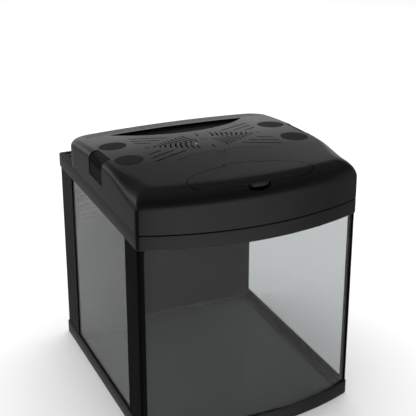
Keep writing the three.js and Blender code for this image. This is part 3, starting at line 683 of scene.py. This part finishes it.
def flap_loop(gap=0.0):
    """The flap's outline, grown by gap."""
    back = FLAP_AXIS.y
    wing = back - FLAP_WING
    turn = (-FLAP_HALF, back - 0.048)
    front_x = -0.078
    front_turn = (-FLAP_HALF, bow_y(FLAP_HALF, FLAP_INSET) - 0.001)
    left = np.concatenate([
        [(0, back + 0.0026), (-TONGUE, back + 0.0026), (-TONGUE, wing)],
        bezier([(-0.030, wing), (-0.066, wing - 0.001), (-FLAP_HALF, back - 0.026), turn], 24),
        bezier([turn, front_turn, (front_x, bow_y(front_x, FLAP_INSET))], 16)[1:],
        [(x, bow_y(x, FLAP_INSET)) for x in np.linspace(front_x, 0, 16)[1:]],
    ])
    return grown(np.concatenate([left, left[1:-1][::-1] * (-1, 1)]), gap)


def crescent(gap=0.0, tip=0.126, front=0.0584):
    """The arc of the crescent's front edge, from tip to tip."""
    sag = BAR_FRONT - front
    radius = (tip ** 2 + sag ** 2) / (2 * sag)
    reach = math.asin((tip + gap) / (radius + gap))
    return arc((0, front + radius), radius + gap, -math.pi / 2 - reach, -math.pi / 2 + reach, 64)


def closed_behind(loop, y):
    return np.concatenate([loop, [(loop[-1][0], y), (loop[0][0], y)]])


print("flap outline:", len(flap_loop()), "points; crescent:", len(crescent()), "points")

# %% The shell and its large openings
WIDE = (-0.25, 0.25)
ahead = block(WIDE, (-0.3, BAR_FRONT - FIT), (0.3, 0.5))
shell = keep(cut(mound(), mound(SHELL, base=HOOD_BASE - 0.005)), ahead)
lip_loops = [plan_loop(inset, REAR) for inset in (0.0033, 0.0054, 0.002)]
lip = cut(prism(lip_loops[0], SEAM - 0.0055, SEAM + 0.008), prism(lip_loops[1], SEAM - 0.01, SEAM + 0.01))
ledge = cut(prism(lip_loops[2], SEAM + 0.003, SEAM + 0.008), prism(lip_loops[1], SEAM, SEAM + 0.01))
lip = keep(join(lip, ledge), block(WIDE, (-0.3, BAR_FRONT - 0.002), (0.3, 0.5)))
shell = join(shell, lip)

UPPER = (SEAM + 0.046, SEAM + 0.091)
DIP_HALF, DIP_DEPTH, DIP_Z = 0.0186, 0.0065, SEAM + 0.062


def finger_dip():
    """A notch for the tab with half a flat bowl under it."""
    bowl = rod("y", (0, FRONT - 0.001, 0), 0.018, 1, 64)
    bowl.data.transform(Matrix.Diagonal((DIP_HALF, 1, DIP_DEPTH, 1)))
    bowl.data.transform(Matrix.Translation((0, 0, DIP_Z)))
    return join(bowl, block((-DIP_HALF, DIP_HALF), (FRONT - 0.001, FRONT + 0.017), (DIP_Z, SEAM + 0.080)))


shell = cut(
    shell,
    prism(flap_loop(FLAP_GAP), *UPPER),
    rod("x", (-TONGUE - 0.0006, FLAP_AXIS.y, FLAP_AXIS.z), 2 * TONGUE + 0.0012, 0.0041),
    finger_dip(),
    prism(closed_behind(crescent(), 0.14), *UPPER),
)
LOUVRE = {"x": 0.1735, "y": (-0.026, 0.040), "z": (SEAM + 0.023, SEAM + 0.069)}


def louvre_box(side, more=0.0, z=None):
    y, z = LOUVRE["y"], z or LOUVRE["z"]
    near = LOUVRE["x"] - more
    x = (near, 0.20) if side > 0 else (-0.20, -near)
    return block(x, (y[0] - more, y[1] + more), (z[0] - more, z[1] + more))


shell = cut(shell, louvre_box(-1), louvre_box(1))
print("shell with its large openings:", len(shell.data.polygons), "faces")

# %% Bosses, lugs and the seats of the pads
POSTS = [(-0.155, -0.100), (0.155, -0.100)]
PADS = {"rear": (0.1467, 0.0445), "front": (0.1481, -0.0419)}
PAD_RADIUS = 0.023
for x, y in POSTS:
    post = keep(rod("z", (x, y, SEAM + 0.0078), 0.07, 0.0045, 24), mound(SHELL / 2))
    shell = cut(join(shell, post), rod("z", (x, y, SEAM), 0.022, 0.0022, 24))
for side in (-1, 1):
    near, far = TONGUE + 0.001, TONGUE + 0.008
    x = (near, far) if side > 0 else (-far, -near)
    lug = block(x, (FLAP_AXIS.y - 0.0026, FLAP_AXIS.y + 0.009), (FLAP_AXIS.z - 0.0034, FLAP_AXIS.z + 0.0008))
    shell = join(shell, lug)
for (x, y) in PADS.values():
    for side in (-1, 1):
        seat = rod("z", (side * x, y, SEAM + 0.03), 0.06, PAD_RADIUS + FIT, 96)
        ring = keep(seat, cut(mound(-0.003), mound(0.0013)))
        shell = cut(shell, ring)
print("shell with bosses and pad seats:", len(shell.data.polygons), "faces")

# %% [markdown]
# The air slots point at the middle of the hood like a stack of arrowheads. Each arm bows outwards, the arms
# get shorter from the middle to the sides, and three long lines stand ahead of and behind them. They are cut
# through, so the dark of the hood's inside shows in them, as on the real one.

# %% The air slots
MM = 0.001
SLOT_RULES = {
    "rear_arms": dict(count=9, start=(14.3, -0.6, 0), start_step=(9, 0.3, 0), end=(25, 36.5, 0),
                      end_step=(8.1, -4, 0), bulge=3.8, bulge_step=-0.4),
    "front_arms": dict(count=9, start=(14.3, -2.2, 0), start_step=(9, 0.3, 0), end=(25, -44.5, 0),
                       end_step=(8.1, 5.1, 0), bulge=3.8, bulge_step=-0.4),
    "rear_lines": dict(count=3, start=(110.5, 70.4, 0), start_step=(0.3, -16.6, 0), end=(49.9, 39.5, 0),
                       end_step=(18.2, -8.0, 0), bulge=1.5),
    "front_lines": dict(count=3, start=(112.3, -35.3, 0), start_step=(0.2, -17.4, 0), end=(86.4, -23.4, 0),
                        end_step=(-18.1, -10.3, 0), bulge=1.5),
    "outer_dash": dict(count=1, start=(97, 2, 0), end=(105, 2, 0)),
    "middle_strokes": dict(count=2, start=(0, 24.6, 0), start_step=(0, -70.7, 0), end=(0, 38.5, 0),
                           end_step=(0, -72.2, 0), mirror=False),
}


def in_metres(rule):
    scaled = {}
    for label, value in rule.items():
        if isinstance(value, tuple):
            value = tuple(v * MM for v in value)
        elif label.startswith("bulge"):
            value = value * MM
        scaled[label] = value
    return scaled


slots = []
for name, rule in SLOT_RULES.items():
    row = grow(name, SLOT_ROW, hood_black, width=0.0028, depth=0.024, **in_metres(rule))
    row.data.transform(Matrix.Translation((0, 0, CROWN - 0.004)))
    slots.append(row)
    print(name, "bars:", len(row.data.polygons))
shell = cut(shell, *slots)

# %% The dotted line, its V and the small arch
def pits(name, depth, **rule):
    """Round pits of equal depth in the dome: pins trimmed by a thin skin of the dome."""
    row = grow(name, PIN_ROW, hood_black, radius=0.0015, height=0.02, **rule)
    row.data.transform(Matrix.Translation((0, 0, CROWN)))
    return keep(row, cut(mound(-0.002), mound(depth)))


dots = [
    pits("dot_line", 0.0026, count=11, start=(0.0095, -0.0637, 0), step=(0.0068, 0, 0), bow=-3.5),
    pits("dot_vee", 0.0026, count=2, start=(0.0032, -0.0764, 0), step=(0.0030, 0.0064, 0)),
    pits("dot_tip", 0.0026, count=1, start=(0, -0.0828, 0), mirror=False),
]
shell = cut(shell, *dots)
arch = grow("arch", SLOT_ROW, hood_black, count=1, start=(0, 0.0055, 0), end=(0.006, -0.001, 0),
            bulge=0.0016, width=0.0010, depth=0.02, mirror=True)
arch.data.transform(Matrix.Translation((0, 0, CROWN)))
arch_skin = cut(mound(-0.002), mound(0.0008))
arch_left = keep(copy_of(arch), copy_of(arch_skin), block((-0.2, -0.0001), (-0.1, 0.1), (0.3, 0.5)))
arch_right = keep(arch, arch_skin, block((0.0001, 0.2), (-0.1, 0.1), (0.3, 0.5)))
shell = cut(shell, arch_left, arch_right)
hood = finish_mesh(shell, "hood_moulding", hood_black)
stand_for(hood, "hood", "hood_plastic", "hood_shell")

# %% [markdown]
# ## The rear bar
#
# A bar closes the hood at the back, carries the hinge barrel and follows the arch down both sides. It has
# three long grooves. Its front edge is the rear wall of the crescent. It is cut from the same dome, so its
# surface runs true to the hood.

# %% The rear bar
BARREL = 0.006
BRACKET_X = 0.131
outer = mound()
inner = mound(SHELL, HOOD_BASE - 0.005)
bar = keep(cut(outer, inner), block(WIDE, (BAR_FRONT, 0.3), (0.3, 0.5)))
web = keep(block((-0.124, 0.124), (BAR_FRONT, BAR_FRONT + 0.0025), (SEAM + 0.037, SEAM + 0.09)), mound(0.001))
bar = cut(join(bar, web), block(WIDE, (HINGE.y, 0.2), (0.3, HINGE.z)))
bar = join(bar, rod("x", (-0.155, HINGE.y, HINGE.z), 0.310, BARREL))
grooves = []
for y in (0.134, 0.144, 0.154):
    band = block((-0.165, 0.165), (y, y + 0.0024), (SEAM + 0.020, 0.5))
    grooves.append(keep(band, cut(mound(-0.002), mound(0.0010))))
bar = cut(bar, *grooves)
for x in (-BRACKET_X, BRACKET_X):
    bar = cut(
        bar,
        block((x - 0.011, x + 0.011), (HINGE.y - 0.008, 0.2), (0.3, HINGE.z + 0.015)),
        rod("x", (x - 0.024, HINGE.y, HINGE.z), 0.048, 0.00215),
    )
switch_z = SEAM + 0.029
bar = cut(
    bar,
    block((-0.071, -0.049), (0.165, 0.2), (switch_z - 0.008, switch_z + 0.008)),
    rod("y", (0.120, 0.160, switch_z), 0.03, 0.0062),
)
rear_bar = finish_mesh(bar, "rear_bar_moulding", hood_black)
stand_for(rear_bar, "hood", "hood_plastic", "rear_bar")

# %% [markdown]
# ## The crescent's tray
#
# A shallow dish fills the crescent. It follows the dome a few millimetres lower, and long slots cross its
# floor, so the air of the rear bay can leave there.

# %% The tray in the crescent
tray_rear = BAR_FRONT - FIT


def within_crescent(body, gap):
    plan = prism(closed_behind(crescent(gap), tray_rear + 0.009), SEAM + 0.03, SEAM + 0.09)
    return keep(body, plan, block(WIDE, (0, tray_rear), (0.3, 0.5)))


FLOOR_DEPTH, FLOOR_UNDER = 0.0055, 0.008
dish = within_crescent(cut(mound(SHELL + FIT), mound(FLOOR_UNDER)), 0.0024)
hollow = within_crescent(cut(mound(-0.005), mound(FLOOR_DEPTH)), 0.0002)
slats = []
for i in range(6):
    reach, y = 0.040 + 0.011 * i, 0.070 + 0.008 * i
    slats.append(block((-reach, reach), (y, y + 0.003), (SEAM + 0.045, SEAM + 0.06)))
tray = finish_mesh(cut(dish, hollow, *slats), "crescent_tray", tray_black)
stand_for(tray, "hood", "hood_plastic", "recess_tray")

# %% [markdown]
# ## Side louvres, round pads and the flap
#
# The louvre is a separate insert with ribs over the shoulder and a flat panel below them. The pads are
# 46 mm rubber discs that let things stand on the hood. The flap is cut from the same dome as the hood, so
# it lies flush, and only its thin outline and its tab give it away.

# %% Louvre inserts
for side, name in ((-1, "left"), (1, "right")):
    backing = keep(cut(mound(SHELL + FIT), mound(SHELL + 0.0023)), louvre_box(side, 0.003))
    face = keep(cut(mound(0.0008), mound(SHELL + 0.001)), louvre_box(side, -FIT))
    grille = join(backing, face)
    x = (0.17, 0.20) if side > 0 else (-0.20, -0.17)
    gaps = [
        block(x, (-0.0225 + 0.008 * i, -0.0185 + 0.008 * i), (SEAM + 0.046, SEAM + 0.060))
        for i in range(8)
    ]
    grille = finish_mesh(cut(grille, *gaps), f"{name}_louvre", tray_black)
    stand_for(grille, "hood", "hood_plastic", f"{name}_vent_grille")

# %% Round pads
for row, (x, y) in PADS.items():
    for side, name in ((-1, "left"), (1, "right")):
        centre = (side * x, y, SEAM + 0.03)
        base = keep(rod("z", centre, 0.06, PAD_RADIUS, 96), cut(mound(0.0001), mound(0.001)))
        crown = keep(rod("z", centre, 0.06, PAD_RADIUS - 0.0012, 96), cut(mound(-0.0002), mound(0.0006)))
        pad = finish_mesh(join(base, crown), f"{row}_{name}_disc", pad_rubber)
        stand_for(pad, "hood", "pad_rubber", f"{row}_{name}_pad")

# %% The feeding flap
plate = keep(cut(mound(), mound(SHELL)), prism(flap_loop(), SEAM + 0.03, SEAM + 0.09))
tongue_y, tongue_z = (FLAP_AXIS.y - 0.005, FLAP_AXIS.y + 0.0024), (FLAP_AXIS.z - 0.0026, FLAP_AXIS.z + 0.001)
tongue = keep(block((-TONGUE, TONGUE), tongue_y, tongue_z), mound(0.0005))
tab_plan = bezier([(-0.0176, FRONT + 0.015), (-0.0172, FRONT + 0.0055), (-0.010, FRONT + 0.0035),
                   (0.010, FRONT + 0.0035), (0.0172, FRONT + 0.0055), (0.0176, FRONT + 0.015)], 30)
tab = prism(tab_plan, SEAM + 0.0628, SEAM + 0.0664)
flap = cut(
    join(plate, tongue, tab),
    rod("x", (-0.04, FLAP_AXIS.y, FLAP_AXIS.z), 0.08, 0.00135, 24),
)
flap = finish_mesh(flap, "flap_moulding", hood_black)
stand_for(flap, "flap", "hood_plastic", "feeding_flap")

# %% [markdown]
# ## Rim, base and bowed pane
#
# The rim and the base are the same band turned over. Their outer corners are rounded by a bevel, so the edge
# catches a thin line of light. The bowed pane is one sheet of glass, bent warm round the corners.


# %% Rings of the rim and the base
def ring(outer, inner, outer_rear, inner_rear, low, high):
    hole = prism(plan_loop(inner, inner_rear), low - 0.01, high + 0.01)
    return cut(prism(plan_loop(outer, outer_rear), low, high), hole)


def soft_band(low, high, wall=0.0027, edge=0.0018):
    """A band with rounded outer edges: outlines stacked through a quarter circle at each end."""
    rings = []
    for end, way in ((low, 1), (high, -1)):
        quarter = np.linspace(0, math.pi / 2, 5)
        turns = quarter if way > 0 else quarter[::-1]
        for angle in turns:
            inset = edge * (1 - math.sin(angle))
            z = end + way * edge * (1 - math.cos(angle))
            loop = plan_loop(inset, REAR - inset)
            rings.append(np.column_stack([loop, np.full(len(loop), z)]))
    return cut(outward(stack("band", rings)), prism(plan_loop(wall, REAR - wall), low - 0.01, high + 0.01))


foot = ring(0.0008, 0.014, REAR - 0.0008, REAR - 0.014, 0, 0.009)
base = join(soft_band(0, BAND), foot)
base = finish_mesh(base, "base_moulding", frame_black)
stand_for(base, "tank", "frame_plastic", "base_frame")

GLASS_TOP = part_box("left_glass")[1].z
rim = soft_band(SEAM - BAND, SEAM)
flange = ring(0.002, 0.016, REAR - 0.002, REAR - 0.025, GLASS_TOP + FIT, GLASS_TOP + 0.0038)
shelf = cut(
    keep(prism(plan_loop(0.001, REAR - 0.001), SEAM - 0.004, SEAM), block(WIDE, (0.128, 0.23), (0.3, 0.4))),
    prism(plan_loop(0.009, HOOD_REAR + 0.003, CORNER, 0.030), SEAM - 0.005, SEAM + 0.001),
)
rim = join(rim, flange, shelf)
HOSE_CUT = {"x": (0.150, 0.181), "y": (0.190, 0.216)}
for side in (-1, 1):
    x = sorted(side * v for v in HOSE_CUT["x"])
    pocket = sorted((side * 0.117, side * 0.145))
    rim = cut(
        rim,
        block(x, HOSE_CUT["y"], (SEAM - 0.005, SEAM + 0.001)),
        block(pocket, (HOOD_REAR, 0.198), (SEAM - 0.003, SEAM + 0.001)),
    )
rim = finish_mesh(rim, "rim_moulding", frame_black)
stand_for(rim, "tank", "frame_plastic", "top_rim")

# %% The bowed front pane
GLASS_INSET, GLASS = 0.003, 0.004
inner_inset = GLASS_INSET + GLASS
glass_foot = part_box("front_glass")[0].z
pane_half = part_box("front_glass")[1].x
bowed = cut(
    prism(plan_loop(GLASS_INSET, REAR), glass_foot, GLASS_TOP),
    prism(plan_loop(inner_inset, REAR + 0.01, corner=0.001), glass_foot - 0.01, GLASS_TOP + 0.01),
)
bowed = keep(bowed, block((-pane_half, pane_half), (-0.3, 0), (0, 0.4)))
pane = finish_mesh(bowed, "bowed_pane", tank_glass)
stand_for(pane, "tank", "tank_glass", "front_glass")

# %% [markdown]
# ## Finishes on the frame's own pieces
#
# The pieces that keep their engineering shape get the finishes above, by the material slot that each belongs
# to.

# %% Materials on carried-over pieces
SLOT_FINISH = {
    # The cover slot takes the darker, duller copy of the cover plastic, which paints shade on the front
    # pillars.
    "hood_plastic": hood_black, "frame_plastic": frame_black, "cover_plastic": cover_black_painted_shade,
    "tank_glass": tank_glass, "silicone": seal_black, "background": board_black, "pad_rubber": pad_rubber,
    "white_plastic": white_abs, "clear_plastic": acrylic, "lamp_glass": lamp_white, "steel": steel,
    "filter_plastic": filter_black, "filter_foam": foam_blue, "hose_rubber": hose_black,
    "rotor_plastic": rotor_black, "switch_plastic": switch_black,
}
OWN_FINISH = {"rear_left_cover": cover_satin, "rear_right_trim": cover_satin, "lamp_driver": driver_white}
slot_of = {part["node"]: part["material_slot"] for part in frame["record"]["subparts"]}
for name, obj in frame["nodes"].items():
    obj.data.materials.clear()
    obj.data.materials.append(OWN_FINISH.get(name, SLOT_FINISH[slot_of[name]]))
print("nodes with a finish:", len(frame["nodes"]))

# %% [markdown]
# ## Floor, light and camera
#
# A product like this is shown on a white sweep. The floor is pale and wide, and one large soft light hangs
# over it. Polished black shows only what it mirrors, so what is mirrored is arranged apart from the light:
# the floor and the lamp are hidden from reflections, and a sky of grey ramps stands in for the studio. It
# has a bright low wall behind, a dark room above, and below the horizon a ring whose brightness changes with
# the direction, so that each side of the hood gets its own tone.

# %% The floor
floor = block((-15, 15), (-15, 15), (-0.05, 0), "floor")
paper = moulded("paper", (0.86, 0.86, 0.86), (0.90, 0.90, 0.90), 0.85, patch=1.5, **gloss(0.1))
floor.data.materials.append(paper)
floor.visible_glossy = False
print("the floor reaches", round(floor.dimensions.x / 2), "m each way")

# %% The world
world = bpy.data.worlds.new("studio")
bpy.context.scene.world = world
world.use_nodes = True
sky = Graph(world.node_tree)
world.node_tree.nodes.clear()
toward = split_vector(sky, sky.add("ShaderNodeTexCoord").outputs["Generated"])


def grey_ramp(position, *stops):
    """A grey ramp from (position, brightness) pairs."""
    colours = [(at, (level, level, level, 1)) for at, level in stops]
    return sky.add("ShaderNodeValToRGB", {"stops": colours}, {0: position}).outputs[0]


def mapped(value, low, high, start=0.0, end=1.0):
    """A number moved from one range to another, and held at the ends."""
    return sky.add("ShaderNodeMapRange", None, {0: value, 1: low, 2: high, 3: start, 4: end}).outputs[0]


def blended(share, below, above):
    """One colour where share is 0, another where it is 1."""
    return sky.add("ShaderNodeMix", {"data_type": "RGBA"}, {0: share, 6: below, 7: above}).outputs[2]


ROOM_DARK = (0.02, 0.02, 0.02, 1)
above = grey_ramp(toward[2], (0, 0.9), (0.117, 0.76), (0.194, 0.52), (0.306, 0.15), (0.383, 0.06),
                  (0.5, 0.03), (1, 0.02))
upper = blended(mapped(toward[1], -0.5, 0.3, 0.12, 1.0), ROOM_DARK, above)
around = mapped(sky.math("ARCTAN2", toward[0], 0 - toward[1]), -math.pi, math.pi)
low = grey_ramp(around, (0, 0.42), (0.04, 0.28), (0.065, 0.17), (0.12, 0.08), (0.2, 0.03), (0.4, 0.03),
                (0.45, 1.0), (0.565, 0.75), (0.66, 0.24), (0.8, 0.26), (1, 0.42))
under = grey_ramp(mapped(toward[2], -1, 0), (0, 0.9), (0.1, 0.9), (0.3, 0.3), (1, 0.3))
lower = blended(mapped(toward[2], -0.75, -0.95), low, under)
colour = blended(mapped(toward[2], -0.02, 0.0), lower, upper)
glow = sky.add("ShaderNodeBackground", None, {"Color": colour, "Strength": 1.0})
sky.add("ShaderNodeOutputWorld", None, {"Surface": glow.outputs[0]})
print("sky nodes:", len(world.node_tree.nodes))

# %% The soft light and the camera
lamp = bpy.data.lights.new("overhead", "AREA")
lamp.shape, lamp.size, lamp.energy = "DISK", 7.0, 370.0
overhead = bpy.data.objects.new("overhead", lamp)
overhead.location = (0.3, 1.2, 4.0)
overhead.visible_glossy = False
bpy.context.scene.collection.objects.link(overhead)

right = Vector((0.916645, -0.399702, 0.000356))
up = Vector((0.152906, 0.351487, 0.923622))
ahead_of_camera = Vector((0.369299, 0.846579, -0.383306))
lens = bpy.data.cameras.new("camera")
lens.lens, lens.sensor_width, lens.clip_end = 94.83, 36.0, 60.0
camera = bpy.data.objects.new("camera", lens)
turn = Matrix((right, up, -ahead_of_camera)).transposed().to_4x4()
camera.matrix_world = Matrix.Translation((-0.68923, -1.59709, 1.03123)) @ turn
bpy.context.scene.collection.objects.link(camera)
bpy.context.scene.camera = camera
bpy.context.scene.view_settings.view_transform = "Standard"
print("camera at", tuple(round(v, 3) for v in camera.location))
